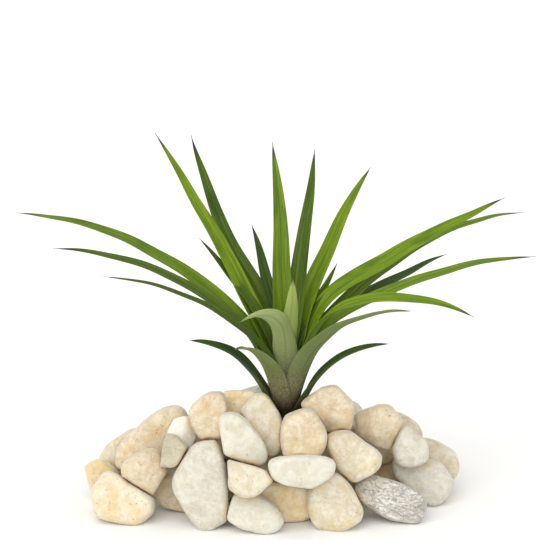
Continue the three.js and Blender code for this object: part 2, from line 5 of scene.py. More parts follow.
import bpy
import numpy
from mathutils import Matrix, Vector
from mathutils.bvhtree import BVHTree


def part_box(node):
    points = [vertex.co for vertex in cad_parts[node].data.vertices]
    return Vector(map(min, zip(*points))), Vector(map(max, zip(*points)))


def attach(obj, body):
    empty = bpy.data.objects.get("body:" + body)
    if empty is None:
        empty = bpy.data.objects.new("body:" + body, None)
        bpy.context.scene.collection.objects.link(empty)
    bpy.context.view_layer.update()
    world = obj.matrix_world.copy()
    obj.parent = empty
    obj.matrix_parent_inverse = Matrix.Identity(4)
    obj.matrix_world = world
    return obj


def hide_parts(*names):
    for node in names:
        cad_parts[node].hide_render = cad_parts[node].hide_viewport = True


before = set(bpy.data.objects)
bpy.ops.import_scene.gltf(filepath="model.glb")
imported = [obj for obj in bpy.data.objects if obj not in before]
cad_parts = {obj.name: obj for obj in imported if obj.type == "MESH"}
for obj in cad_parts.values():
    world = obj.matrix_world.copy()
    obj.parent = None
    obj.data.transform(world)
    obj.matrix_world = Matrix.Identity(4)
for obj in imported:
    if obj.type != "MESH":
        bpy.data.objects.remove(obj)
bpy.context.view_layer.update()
mm = 0.001


# Small helpers

def deselect():
    for item in bpy.context.selected_objects:
        item.select_set(False)


def activate(piece):
    deselect()
    piece.select_set(True)
    bpy.context.view_layer.objects.active = piece


def applyModifier(piece, name, kind, **settings):
    modifier = piece.modifiers.new(name, kind)
    for key, value in settings.items():
        setattr(modifier, key, value)
    activate(piece)
    bpy.ops.object.modifier_apply(modifier=modifier.name)


def colour(code):
    channels = [int(code[i:i + 2], 16) / 255 for i in (0, 2, 4)]
    linear = [c / 12.92 if c <= 0.04045 else ((c + 0.055) / 1.055) ** 2.4 for c in channels]
    return (*linear, 1)


def smoothstep(value, low, high):
    share = min(1, max(0, (value - low) / (high - low)))
    return share * share * (3 - 2 * share)


def place(piece, nodeName):
    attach(piece, "root")
    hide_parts(nodeName)


# Shader expressions: a Wire is a socket that can be reckoned with

class Wire:
    def __init__(self, tree, socket=None):
        self.tree = tree
        self.socket = socket

    def node(self, kind, settings=None, inputs=None, out=0):
        made = self.tree.nodes.new("ShaderNode" + kind)
        for key, value in (settings or {}).items():
            setattr(made, key, value)
        for key, value in (inputs or {}).items():
            if isinstance(value, Wire):
                self.tree.links.new(value.socket, made.inputs[key])
            else:
                made.inputs[key].default_value = value
        return Wire(self.tree, made.outputs[out])

    def maths(self, operation, *others):
        return self.node("Math", {"operation": operation}, dict(enumerate((self, *others))))

    def __add__(self, other):
        return self.maths("ADD", other)

    def __sub__(self, other):
        return self.maths("SUBTRACT", other)

    def __mul__(self, other):
        return self.maths("MULTIPLY", other)

    def __rsub__(self, other):
        return self.node("Math", {"operation": "SUBTRACT"}, {0: other, 1: self})

    __radd__ = __add__
    __rmul__ = __mul__

    def ramp(self, low, high):  # 0 up to low, 1 from high on, smooth between
        settings = {"interpolation_type": "SMOOTHSTEP"}
        return self.node("MapRange", settings, {"Value": self, "From Min": low, "From Max": high})

    def mix(self, a, b):  # colour a where this is 0 and b where it is 1
        return self.node("Mix", {"data_type": "RGBA"}, {0: self, 6: a, 7: b}, out=2)

    def split(self):
        made = self.tree.nodes.new("ShaderNodeSeparateXYZ")
        self.tree.links.new(self.socket, made.inputs[0])
        return [Wire(self.tree, output) for output in made.outputs]

    def scaled(self, scale, offset=(0, 0, 0)):
        moved = self.node("VectorMath", {"operation": "MULTIPLY"}, {0: self, 1: scale})
        return moved.node("VectorMath", {"operation": "ADD"}, {0: moved, 1: offset})

    def noise(self, scale, detail=3, roughness=0.5, distortion=0):
        inputs = {"Vector": self, "Scale": scale, "Detail": detail}
        inputs |= {"Roughness": roughness, "Distortion": distortion}
        return self.node("TexNoise", None, inputs)

    def relief(self, strength, height):
        return self.node("Bump", None, {"Strength": strength, "Distance": height, "Height": self})

    def cells(self, scale):  # distance from the nearest of many scattered points
        return self.node("TexVoronoi", {"feature": "F1"}, {"Vector": self, "Scale": scale})


def newMaterial(name):
    material = bpy.data.materials.new(name)
    material.use_nodes = True
    return material, Wire(material.node_tree), material.node_tree.nodes["Principled BSDF"]


def connect(wire, shader, socketName):
    wire.tree.links.new(wire.socket, shader.inputs[socketName])


# Camera, floor and light

camera = {  # placed and turned as the one that took the photo
    "target": (-1.26 * mm, 0, 102.756 * mm),
    "elevation": math.radians(13),
    "distance": 1,
    "focal": 158.73,
    "sensor": 36,
    "clip": (0.05, 50),
}


def makeCamera():
    rise = camera["elevation"]
    back = Vector((0, -math.cos(rise), math.sin(rise)))
    bpy.ops.object.camera_add(location=Vector(camera["target"]) + back * camera["distance"])
    view = bpy.context.object
    view.name = "photoView"
    view.rotation_euler = (math.pi / 2 - rise, 0, 0)
    view.data.lens = camera["focal"]
    view.data.sensor_width = camera["sensor"]
    view.data.clip_start, view.data.clip_end = camera["clip"]
    bpy.context.scene.camera = view


studio = {
    "floorSize": 24,
    "floorTint": "f6f5f3",
    "floorRoughness": 0.9,
    "keyStrength": 1.6,
    "keySpread": math.radians(70),
    "keyTurn": (math.radians(54), 0, math.radians(-22)),
    "skyStrength": 0.92,
    "skyTint": "ffffff",
}


def makeStudio():
    deselect()
    bpy.ops.mesh.primitive_plane_add(size=studio["floorSize"])
    floor = bpy.context.object
    floor.name = "floor"
    material, _, shader = newMaterial("paleFloor")
    shader.inputs["Base Color"].default_value = colour(studio["floorTint"])
    shader.inputs["Roughness"].default_value = studio["floorRoughness"]
    floor.data.materials.append(material)

    bpy.ops.object.light_add(type="SUN", rotation=studio["keyTurn"])
    key = bpy.context.object
    key.name = "softKey"
    key.data.energy = studio["keyStrength"]
    key.data.angle = studio["keySpread"]

    world = bpy.data.worlds.new("studioWhite")
    world.use_nodes = True
    sky = world.node_tree.nodes["Background"]
    sky.inputs["Color"].default_value = colour(studio["skyTint"])
    sky.inputs["Strength"].default_value = studio["skyStrength"]
    bpy.context.scene.world = world
    bpy.context.scene.view_settings.view_transform = "Standard"


makeCamera()
makeStudio()
print("camera and studio are up")


# Leaves

# From the youngest, innermost one to the oldest, in millimetres and degrees. ring: how far its foot stands
# from the heart, counted in sheaths. azimuth: 0 is right, 90 is back, 180 is left. start, rise and droop:
# how far it points above the horizon at its foot, where it has leant out and at its tip. upright: how far
# it goes before it leans out. veer: its sideways swing. roll: the turn of its upper face.

leaves = [
    {"ring": 2.2, "azimuth": 69, "length": 98, "upright": 11, "rise": 64, "droop": 72, "width": 10.4,
     "look": "deep"},
    {"ring": 2.2, "azimuth": 277, "length": 51, "upright": 14, "rise": 59, "droop": 60, "width": 9,
     "look": "pale"},
    {"ring": 3.4, "azimuth": 114, "length": 72, "upright": 12, "rise": 55, "droop": 51, "width": 9,
     "look": "dark"},
    {"ring": 3.4, "azimuth": 48, "length": 57, "upright": 15, "rise": 37, "droop": 49, "width": 6.5,
     "roll": 10, "look": "deep"},
    {"ring": 4.4, "azimuth": 101, "veer": 8, "length": 104, "upright": 19, "rise": 84, "droop": 72,
     "width": 11, "look": "fresh"},
    {"ring": 4.4, "azimuth": 147, "length": 75, "upright": 17, "rise": 48, "droop": 43, "width": 7.5,
     "roll": -10, "look": "deep"},
    {"ring": 4.6, "azimuth": 58, "length": 111, "upright": 23, "rise": 53, "droop": 35, "width": 10,
     "roll": 15, "look": "bright"},
    {"ring": 5.4, "azimuth": 124, "length": 126, "upright": 32, "rise": 28, "droop": 66, "width": 10,
     "roll": -15, "look": "deep"},
    {"ring": 5.6, "azimuth": 143, "length": 126, "upright": 11, "rise": 59, "droop": 49, "width": 10.5,
     "roll": -20, "look": "bright"},
    {"ring": 5.6, "azimuth": 33, "length": 144, "upright": 36, "rise": 23, "droop": 15, "width": 11,
     "roll": 25, "look": "bright"},
    {"ring": 6.4, "azimuth": 38, "length": 159, "upright": 13, "rise": 44, "droop": -5, "width": 9,
     "roll": 15, "look": "fresh"},
    {"ring": 6.6, "azimuth": 159, "length": 153, "upright": 17, "rise": 49, "droop": -2, "width": 10,
     "roll": -20, "look": "fresh"},
    {"ring": 6.4, "azimuth": 264, "veer": -52, "length": 69, "upright": 17, "start": 80, "rise": 84,
     "droop": -18, "width": 12, "roll": 50, "look": "frosted"},
    {"ring": 7.4, "azimuth": 43, "length": 116, "upright": 28, "rise": 17, "droop": 9, "width": 9,
     "roll": 15, "look": "dark"},
    {"ring": 7.4, "azimuth": 183, "length": 125, "upright": 26, "rise": 49, "droop": 3, "width": 9,
     "roll": -20, "look": "deep"},
    {"ring": 7.4, "azimuth": 92, "length": 84, "upright": 14, "rise": 46, "droop": 12, "width": 9.5,
     "look": "deep"},
    {"ring": 7.4, "azimuth": 9, "length": 131, "upright": 27, "start": 75, "rise": 34, "droop": 1,
     "width": 9, "roll": 20, "look": "fresh"},
    {"ring": 7.2, "azimuth": 340, "length": 108, "upright": 34, "start": 78, "rise": 36, "droop": -23,
     "width": 9.5, "roll": 25, "look": "bright"},
    {"ring": 8.2, "azimuth": 203, "length": 109, "upright": 14, "start": 83, "rise": 53, "droop": 9,
     "width": 9.5, "roll": 15, "look": "deep"},
    {"ring": 8.4, "azimuth": 78, "length": 70, "upright": 12, "rise": 38, "droop": 4, "width": 9,
     "look": "deep"},
    {"ring": 8.4, "azimuth": 302, "veer": 27, "length": 95, "upright": 13, "start": 72, "rise": 55,
     "droop": 8, "width": 13, "roll": -5, "look": "old"},
    {"ring": 9.6, "azimuth": 240, "length": 58.5, "upright": 5, "start": 74, "rise": 72, "droop": 8,
     "width": 13, "look": "worn"},
    {"ring": 9.4, "azimuth": 176, "length": 51, "upright": 16, "start": 60, "rise": 50, "droop": 4,
     "width": 11, "roll": -10, "look": "dark"},
    {"ring": 9.6, "azimuth": 345, "veer": 15, "length": 54, "upright": 6, "start": 64, "rise": 67,
     "droop": 4, "width": 11, "roll": 10, "look": "dark"},
]

leafForm = {
    "sides": 32,  # points round the section
    "rows": 100,  # sections from foot to tip
    "stemX": 6,
    "collarHeight": 40,
    "outerRing": 9.6,
    "ringStep": 2.2,
    "heartRadius": 1.4,
    "ringSpread": 0.35,
    "heartStart": 88,
    "ringLean": 2.4,
    "leanLength": 22,
    "leanStart": 0.4,
    "veerCurve": 1.5,
    "sheathLength": 26,
    "sheathWrap": math.radians(60),
    "bladeCup": math.radians(37),
    "tipCup": math.radians(62),
    "cupStart": 0.6,  # share of the blade after which it cups more
    "taper": 0.56,
    "tipLength": 0.055,  # share of the blade that narrows to the point
    "finestEdge": 0.12,
    "rollLength": 0.35,
    "sheathThickness": 0.95,
    "bladeThickness": 0.8,
    "tipThickness": 0.35,
    "thinStart": 0.5,
    "edgeRounding": 0.55,
    "sway": 0.3,  # how far a blade waves sideways
    "nod": 0.15,  # and up and down
    "swayLength": 0.5,
    "wave": 26,  # length of a wave
    "seed": 100,
}


# The blank that every leaf is bent from: a tube of unit radius and height with closed ends.
def makeLeafBlank():
    deselect()
    bpy.ops.mesh.primitive_cylinder_add(
        vertices=leafForm["sides"], radius=1, depth=1, end_fill_type="TRIFAN", location=(0, 0, 0.5))
    blank = bpy.context.object
    blank.name = "leafBlank"
    bpy.ops.object.transform_apply(location=True)
    bpy.ops.object.mode_set(mode="EDIT")
    bpy.ops.mesh.select_mode(type="EDGE")
    bpy.ops.mesh.select_all(action="DESELECT")
    bpy.ops.object.mode_set(mode="OBJECT")
    points = blank.data.vertices
    for edge in blank.data.edges:
        heights = [points[i].co.z for i in edge.vertices]
        edge.select = abs(heights[0] - heights[1]) > 0.5
    bpy.ops.object.mode_set(mode="EDIT")
    bpy.ops.mesh.subdivide(number_cuts=leafForm["rows"] - 1)
    bpy.ops.object.mode_set(mode="OBJECT")
    return blank


def footRadius(leaf):
    return leafForm["heartRadius"] + leaf["ring"] * leafForm["ringSpread"]


# The line of a leaf, as a list of steps from its foot to its tip.
def leafLine(leaf, chance):
    form = leafForm
    foot = math.radians(leaf["azimuth"])
    ring, length, upright = leaf["ring"], leaf["length"], leaf["upright"]
    start = leaf.get("start", form["heartStart"] - ring * form["ringLean"])
    height = form["collarHeight"] + (form["outerRing"] - ring) * form["ringStep"]
    radius = footRadius(leaf)
    point = Vector((form["stemX"] + radius * math.cos(foot), radius * math.sin(foot), height))
    phases = [chance.uniform(0, 2 * math.pi) for i in range(2)]
    line = []
    for i in range(form["rows"] + 1):
        run = length * i / form["rows"]
        share = max(0, (run - upright) / (length - upright))
        leaning = smoothstep(run, upright * form["leanStart"], upright + form["leanLength"])
        arch = leaf["rise"] + (leaf["droop"] - leaf["rise"]) * share
        climb = math.radians(start + (arch - start) * leaning)
        heading = foot + math.radians(leaf.get("veer", 0) * share ** form["veerCurve"])
        level = math.cos(climb)
        along = Vector((math.cos(heading) * level, math.sin(heading) * level, math.sin(climb)))
        turn = math.radians(leaf.get("roll", 0)) * smoothstep(share, 0, form["rollLength"])
        side = Matrix.Rotation(turn, 3, along) @ Vector((-math.sin(heading), math.cos(heading), 0))
        face = along.cross(side)
        loose = smoothstep(share, 0, form["swayLength"])
        waves = [math.sin(2 * math.pi * run / form["wave"] / (1 + k) + phases[k]) for k in range(2)]
        swayed = side * (loose * form["sway"] * waves[1]) + face * (loose * form["nod"] * waves[0])
        line.append({"point": point + swayed, "side": side, "face": face, "run": run, "share": share})
        point = point + along * (length / form["rows"])
    return line


# A closed section at one step: half its width, the angle that it curls through and its thickness.
def leafSection(leaf, run, share):
    form = leafForm
    opened = smoothstep(run, 0, form["sheathLength"])
    sheath = footRadius(leaf) * form["sheathWrap"]
    pointed = 1 - math.exp(-(1 - share) / form["tipLength"])
    blade = leaf["width"] / 2 * (1 - share) ** form["taper"] * pointed
    half = max(form["finestEdge"], sheath * (1 - opened) + blade * opened)
    cup = form["bladeCup"] + (form["tipCup"] - form["bladeCup"]) * smoothstep(share, form["cupStart"], 1)
    curl = form["sheathWrap"] * (1 - opened) + cup * opened
    thick = form["sheathThickness"] + (form["bladeThickness"] - form["sheathThickness"]) * opened
    thick += (form["tipThickness"] - thick) * smoothstep(share, form["thinStart"], 1)
    return half, curl, min(thick, half)


def makeLeaf(index, leaf, blank):
    name = f"leaf_{index:02d}"
    chance = random.Random(leafForm["seed"] + index)
    piece = blank.copy()
    piece.data = blank.data.copy()
    piece.name = name + "_blade"
    piece.data.name = piece.name
    bpy.context.collection.objects.link(piece)
    line = leafLine(leaf, chance)
    sections = [leafSection(leaf, step["run"], step["share"]) for step in line]
    # where a point lies on the leaf: across it and along it in millimetres, and which face it is on
    spot = piece.data.attributes.new("leafSpot", "FLOAT_VECTOR", "POINT")
    # how far across it lies as a share of half the width, and along the blade, and the leaf's own number
    share = piece.data.attributes.new("leafShare", "FLOAT_VECTOR", "POINT")
    for vertex in piece.data.vertices:
        row = round(vertex.co.z * leafForm["rows"])
        half, curl, thick = sections[row]
        here = line[row]
        angle = math.atan2(vertex.co.y, vertex.co.x)
        radial = min(1, math.hypot(vertex.co.x, vertex.co.y))
        across = math.cos(angle) * radial
        bulge = math.copysign(abs(math.sin(angle)) ** leafForm["edgeRounding"], math.sin(angle)) * radial
        radius = half / curl
        reach = radius - bulge * thick / 2
        bend = curl * across
        position = here["point"] + here["face"] * (radius - reach * math.cos(bend))
        position += here["side"] * reach * math.sin(bend)
        vertex.co = position * mm
        spot.data[vertex.index].vector = (across * half, here["run"], bulge)
        share.data[vertex.index].vector = (across, here["run"] / leaf["length"], index)
    for polygon in piece.data.polygons:
        polygon.use_smooth = True
    activate(piece)
    bpy.ops.object.mode_set(mode="EDIT")
    bpy.ops.mesh.select_all(action="SELECT")
    bpy.ops.mesh.normals_make_consistent(inside=False)
    bpy.ops.object.mode_set(mode="OBJECT")
    piece.data.materials.clear()
    piece.data.materials.append(leafMaterials[leaf["look"]])
    place(piece, name)


# Finish of the leaves. body: the blade's own green. light: where it is younger. shade: its deeper streaks
# and the painted shade along the midrib. under: its other face. frost: how much of it is under pale scales.
# husk: how dry and brown its sheath is. The looks bright and dark are partly the leaves' own tones and
# partly painted light and shade: bright for leaves that stand in the light, dark for those in shade.
leafLooks = {
    "bright": {"body": "5f7b0c", "light": "7a921c", "shade": "3f5c06", "under": "557014", "frost": 0.04,
               "husk": 0.15},
    "fresh": {"body": "55700e", "light": "70881e", "shade": "385408", "under": "4d6618", "frost": 0.06,
              "husk": 0.3},
    "deep": {"body": "3b540a", "light": "546a16", "shade": "273e06", "under": "3f551a", "frost": 0.06,
             "husk": 0.35},
    "dark": {"body": "2e450c", "light": "425c1a", "shade": "1e3408", "under": "3a4f20", "frost": 0.06,
             "husk": 0.3},
    "old": {"body": "4c6824", "light": "657e3a", "shade": "354f16", "under": "6d7d4a", "frost": 0.16,
            "husk": 1},
    "frosted": {"body": "8a9a58", "light": "aab87c", "shade": "6a7c42", "under": "95a468", "frost": 0.4,
                "husk": 0.85},
    "worn": {"body": "606e38", "light": "7c8a52", "shade": "46562c", "under": "6f7c48", "frost": 0.2,
             "husk": 1},
    "pale": {"body": "8c9e44", "light": "a9b866", "shade": "6c8230", "under": "9cac5e", "frost": 0.25,
             "husk": 0},
}

# The scales are waves a millimetre across the leaf and along it, and the last one sets the leaves apart.
leafSurface = {
    "tip": "3a2a2c",
    "husk": "645f42",
    "foot": "33251b",
    "scale": "b9bb98",
    "fleck": "45412c",
    "streakScale": (1.5, 0.03, 1),
    "fineStreakScale": (5.5, 0.09, 1),
    "patchScale": (0.16, 0.045, 1),
    "frostScale": (2.2, 1.5, 1),
    "fleckScale": (0.8, 0.55, 1),
    "apart": 7.3,
    "sheathFrom": 34,  # millimetres up from the foot
    "sheathTo": 6,
    "footFrom": 13,
    "footTo": 1,
    "tipFrom": 0.91,  # share of the leaf's length
    "tipTo": 0.975,
    "roughness": 0.46,
    "shine": 0.12,
    "ribHeight": 0.35 * mm,
    "ribStrength": 0.35,
}


def makeLeafMaterial(name, look):
    material, start, shader = newMaterial("leaf_" + name)
    spot = start.node("Attribute", {"attribute_name": "leafSpot"}, None, out=1)
    share = start.node("Attribute", {"attribute_name": "leafShare"}, None, out=1)
    across, run, side = spot.split()
    width, along, number = share.split()

    surface = leafSurface
    shifted = start.node("CombineXYZ", None, {0: across, 1: run, 2: number * surface["apart"]})
    streaks = shifted.scaled(surface["streakScale"]).noise(1, detail=4, roughness=0.6)
    fineStreaks = shifted.scaled(surface["fineStreakScale"]).noise(1, detail=3, roughness=0.6)
    patches = shifted.scaled(surface["patchScale"]).noise(1, detail=2)
    scales = shifted.scaled(surface["frostScale"]).noise(1, detail=3, roughness=0.7)
    flecks = shifted.scaled(surface["fleckScale"]).noise(1, detail=4, roughness=0.75).ramp(0.58, 0.68)

    tint = streaks.ramp(0.38, 0.64).mix(colour(look["body"]), colour(look["light"]))
    tint = (patches.ramp(0.5, 0.7) * 0.6).mix(tint, colour(look["shade"]))
    tint = (fineStreaks.ramp(0.48, 0.66) * 0.5).mix(tint, colour(look["shade"]))
    under = 1 - side.ramp(-0.4, 0.2)
    tint = (under * 0.7).mix(tint, colour(look["under"]))

    sheath = 1 - run.ramp(surface["sheathTo"], surface["sheathFrom"])
    dry = (sheath * (0.5 + patches) * look["husk"]).maths("MINIMUM", 1)
    tint = dry.mix(tint, colour(surface["husk"]))
    frost = scales.ramp(0.35, 0.75) * (sheath * (look["husk"] * 0.3) + look["frost"] * 0.8)
    tint = frost.mix(tint, colour(surface["scale"]))
    tint = (flecks * sheath * (0.2 + look["husk"] * 0.5)).mix(tint, colour(surface["fleck"]))
    # the feet go dark brown: partly their own dry base, partly painted shade deep in the rosette among the
    # stones
    foot = (1 - run.ramp(surface["footTo"], surface["footFrom"])) * (0.5 + patches * 1.1)
    tint = foot.maths("MINIMUM", 1).mix(tint, colour(surface["foot"]))

    out = width.maths("ABSOLUTE")
    tint = (out.ramp(0.93, 1) * (0.2 + sheath * 0.4)).mix(tint, colour(look["light"]))
    # painted shade: a darker line down the middle of the blade, where its channel folds
    tint = ((1 - out.ramp(0, 0.16)) * (1 - sheath) * 0.4).mix(tint, colour(look["shade"]))
    wear = along + (streaks - 0.5) * 0.06
    worn = wear.ramp(surface["tipFrom"], surface["tipTo"]) * (0.95 - look["frost"] * 1.8)
    connect(worn.mix(tint, colour(surface["tip"])), shader, "Base Color")

    gloss = surface["roughness"] + under * 0.1 + frost * 0.25 + (fineStreaks - 0.5) * 0.15
    connect(gloss, shader, "Roughness")
    ribs = streaks * 0.7 + fineStreaks * 0.35 + scales * (sheath * 0.5 + look["frost"] * 0.3)
    connect(ribs.relief(surface["ribStrength"], surface["ribHeight"]), shader, "Normal")
    shader.inputs["Specular IOR Level"].default_value = surface["shine"]
    return material


leafMaterials = {name: makeLeafMaterial(name, look) for name, look in leafLooks.items()}
leafBlank = makeLeafBlank()
for index, leaf in enumerate(leaves, 1):
    makeLeaf(index, leaf, leafBlank)
bpy.data.objects.remove(leafBlank)
print("leaves are grown:", len(leaves))


# Stem

stemLook = {
    "dark": "3b2d22",
    "light": "8a7355",
    "fibreScale": (900, 900, 120),
    "fibreStrength": 0.7,
    "fibreHeight": 0.6 * mm,
    "roughness": 0.9,
}


def makeStemMaterial():
    material, start, shader = newMaterial("woodyStem")
    spot = start.node("TexCoord", None, None, out=3)
    fibres = spot.scaled(stemLook["fibreScale"]).noise(1, detail=4, roughness=0.65)
    tint = fibres.ramp(0.35, 0.68).mix(colour(stemLook["dark"]), colour(stemLook["light"]))
    connect(tint, shader, "Base Color")
    shader.inputs["Roughness"].default_value = stemLook["roughness"]
    connect(fibres.relief(stemLook["fibreStrength"], stemLook["fibreHeight"]), shader, "Normal")
    return material


# A copy of an imported node: its doubles merged, its normals made consistent. Those that call it make it
# finer and round its corners off.
def copyNode(nodeName, name):
    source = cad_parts[nodeName]
    piece = source.copy()
    piece.data = source.data.copy()
    piece.parent = None
    for key in [key for key in piece.keys() if key.startswith("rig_")]:
        del piece[key]
    piece.name = name
    piece.data.name = name
    bpy.context.collection.objects.link(piece)
    activate(piece)
    bpy.ops.object.mode_set(mode="EDIT")
    bpy.ops.mesh.select_all(action="SELECT")
    bpy.ops.mesh.remove_doubles(threshold=0.01 * mm)
    bpy.ops.mesh.normals_make_consistent(inside=False)
    bpy.ops.object.mode_set(mode="OBJECT")
    piece.data.materials.clear()
    return piece


def shadeSmooth(piece):
    activate(piece)
    bpy.ops.object.shade_smooth()


def makeStem():
    piece = copyNode("stem", "stem_wood")
    applyModifier(piece, "round", "SUBSURF", levels=2, render_levels=2)
    shadeSmooth(piece)
    piece.data.materials.append(makeStemMaterial())
    place(piece, "stem")


makeStem()
print("stem is in")


# Pebbles

# Those of the front are outlined: outline holds the corners of the broad face, to the right of its middle
# and up, anticlockwise from the left. Those of the back are rounder, with a size: length, width and
# thickness. All are in millimetres. turn, lean and yaw turn them, in degrees. seed: picks the flats that
# the water wore on the faces. tone: their finish, unless a look of their own is given. Those looks are
# lighter or darker copies of a tone that paint in light or shade: lighter for stones deep in shade, darker
# for one out in the light.

stones = [
    {"thickness": 15, "seed": 11, "tone": "straw", "outline": [(-7.5, 6.5), (-5.5, -1.5), (-3, -10),
     (6.5, -8), (7.5, 4), (0, 10), (-3.5, 10)]},
    {"thickness": 16, "seed": 12, "tone": "straw", "outline": [(-13, 4), (-12, -7), (-3.5, -10),
     (6.5, -11), (13, -5.5), (12.5, 0), (-4.5, 11), (-8, 11)]},
    {"thickness": 15, "seed": 13, "tone": "cream", "outline": [(-8, -3.5), (-6, -9), (0, -11), (6, -4),
     (8, 8.5), (4.5, 8), (-5, 1.5)]},
    {"thickness": 18, "seed": 14, "tone": "tan", "outline": [(-15.5, -12), (-10, -14), (2, -11),
     (11, -2.5), (15.5, 5), (14.5, 11), (10, 13.5), (4, 12), (-7, 4), (-14.5, -4)]},
    {"thickness": 16, "seed": 15, "tone": "tan", "outline": [(-9.5, 2), (-9, -1.5), (-3, -6), (3, -9.5),
     (9.5, 0.5), (6.5, 7.5), (2.5, 9.5), (-6, 6)]},
    {"thickness": 16, "seed": 16, "tone": "tan", "outline": [(-11.5, -1), (-5.5, -7.5), (6, -9),
     (11.5, 0), (8.5, 8.5), (-0.5, 9), (-7, 6.5), (-10.5, 3)]},
    {"thickness": 11, "seed": 17, "tone": "ash", "look": "dullShaded", "outline": [(-5.5, -6.5), (-1.5, -7),
     (1.5, -6), (5.5, 1.5), (1, 6.5), (-2.5, 7), (-4.5, 1.5)]},
    {"thickness": 9, "seed": 18, "tone": "ivory", "look": "whiteLit", "outline": [(-6, 0.5), (-5, -4),
     (-1.5, -6.5), (3.5, -6.5), (6, -1.5), (5.5, 3.5), (1.5, 6.5), (-3.5, 5.5)]},
    {"thickness": 13, "seed": 19, "tone": "tan", "outline": [(-8, 1.5), (-6, -6), (-2.5, -10), (6, -9),
     (8, 4.5), (5.5, 10), (0, 10), (-6.5, 5)]},
    {"thickness": 13, "seed": 20, "tone": "tan", "look": "sandyLit", "outline": [(-9.5, -2), (-7, -5),
     (-1.5, -5.5), (5, -3.5), (9.5, 3), (7, 5.5), (-5, 5.5), (-8.5, 1.5)]},
    {"thickness": 13, "seed": 21, "tone": "cream", "outline": [(-9, 6), (2, -13), (6, -13), (9, -7.5),
     (9, 0), (7, 5), (1.5, 12.5), (-3, 13), (-6.5, 9.5)]},
    {"thickness": 12, "seed": 22, "tone": "ivory", "outline": [(-10, 6), (-7.5, -6), (3.5, -11),
     (8.5, -10.5), (10, -6.5), (7, 0.5), (0, 9), (-5, 11), (-9, 9.5)]},
    {"thickness": 13, "seed": 23, "tone": "ash", "outline": [(-11.5, 2.5), (-11, -2), (-1.5, -16.5),
     (2, -19), (11.5, -14), (11.5, 6), (7, 19), (1, 19), (-3.5, 16.5)]},
    {"thickness": 14, "seed": 24, "tone": "cream", "outline": [(-9, 7.5), (-8.5, -4), (-3, -7.5),
     (3, -6.5), (9, -0.5), (6, 3.5), (-2.5, 6)]},
    {"thickness": 15, "seed": 25, "tone": "ivory", "outline": [(-11.5, -2.5), (-7.5, -5.5), (3.5, -8.5),
     (9, -7), (11.5, -2.5), (8.5, 2.5), (0, 8), (-6, 8.5), (-9, 7)]},
    {"thickness": 15, "seed": 26, "tone": "tan", "look": "sandyLit", "outline": [(-18, 0), (-15, -5),
     (-2, -8), (13, -7), (18, -1.5), (14.5, 6.5), (-1, 8), (-13, 5.5)]},
    {"thickness": 13, "seed": 27, "tone": "ivory", "outline": [(-13.5, 2.5), (-11.5, -2.5), (-6, -5.5),
     (4, -6.5), (11, -3), (13.5, 1.5), (12.5, 5), (8, 6.5), (-8, 6.5), (-12.5, 5)]},
    {"thickness": 14, "seed": 28, "tone": "tan", "outline": [(-9.5, 0), (-8, -8.5), (-1, -11), (7, -8.5),
     (9.5, -3.5), (9.5, 2), (4, 10.5), (0, 11), (-7.5, 8)]},
    {"thickness": 15, "seed": 29, "tone": "tan", "outline": [(-11, 2.5), (-10, -0.5), (-3, -9), (3, -10),
     (9.5, -8.5), (11, -3), (11, 2.5), (3.5, 10), (-2, 9.5)]},
    {"thickness": 15, "seed": 30, "tone": "cream", "outline": [(-11.5, 7), (-10, 1), (-3.5, -8.5),
     (0.5, -10.5), (8, -7), (11.5, -2.5), (11.5, 1), (-1.5, 10.5), (-9.5, 10)]},
    {"thickness": 14, "seed": 31, "tone": "tan", "outline": [(-10, 4.5), (-8.5, -3.5), (-0.5, -8.5),
     (4.5, -9.5), (10, 2.5), (5, 9), (0, 9.5), (-5, 8)]},
    {"thickness": 12, "seed": 32, "tone": "ash", "outline": [(-7.5, -1), (-5.5, -7.5), (1.5, -8.5),
     (7.5, -5.5), (7, 2), (-1.5, 8.5), (-3.5, 7)]},
    {"thickness": 14, "seed": 33, "tone": "cream", "outline": [(-7.5, 9.5), (-5, -4.5), (3, -9.5),
     (7, -6.5), (7.5, -0.5), (5.5, 4), (-2.5, 8.5)]},
    {"thickness": 16, "seed": 34, "tone": "ash", "outline": [(-13, 6.5), (-11.5, 1), (0.5, -9.5),
     (5.5, -10.5), (11, -6), (13, -0.5), (7.5, 7.5), (-4.5, 10.5), (-11, 9.5)]},
    {"thickness": 15, "seed": 35, "tone": "slate", "outline": [(-15, 4), (-13, -0.5), (-1.5, -8),
     (10.5, -10), (15, -5.5), (14.5, 0), (7.5, 5), (-8.5, 10), (-13.5, 8)]},
    {"thickness": 15, "seed": 36, "tone": "cream", "outline": [(-11.5, -1.5), (-10, -7.5), (-5.5, -11.5),
     (3.5, -12), (10.5, -7.5), (11.5, -3), (5, 8.5), (0.5, 12), (-6.5, 10.5), (-11, 4)]},
    {"size": [36, 20, 22], "turn": 4, "yaw": 150, "seed": 37, "tone": "honey"},
    {"size": [36, 26, 21], "turn": -12, "lean": 10, "yaw": 170, "seed": 38, "tone": "cream"},
    {"size": [38, 25, 22], "turn": 10, "lean": 10, "yaw": 185, "seed": 39, "tone": "ash"},
    {"size": [36, 26, 21], "turn": -6, "lean": 5, "yaw": 210, "seed": 40, "tone": "tan"},
    {"size": [30, 22, 17], "turn": 14, "lean": 40, "yaw": 160, "seed": 41, "tone": "straw"},
    {"size": [28, 21, 17], "turn": -14, "lean": 35, "yaw": 175, "seed": 42, "tone": "ivory"},
    {"size": [31, 22, 17], "turn": 12, "lean": 35, "yaw": 190, "seed": 43, "tone": "cream"},
    {"size": [20, 14, 13], "turn": 8, "lean": 20, "yaw": 205, "seed": 44, "tone": "tan"},
]

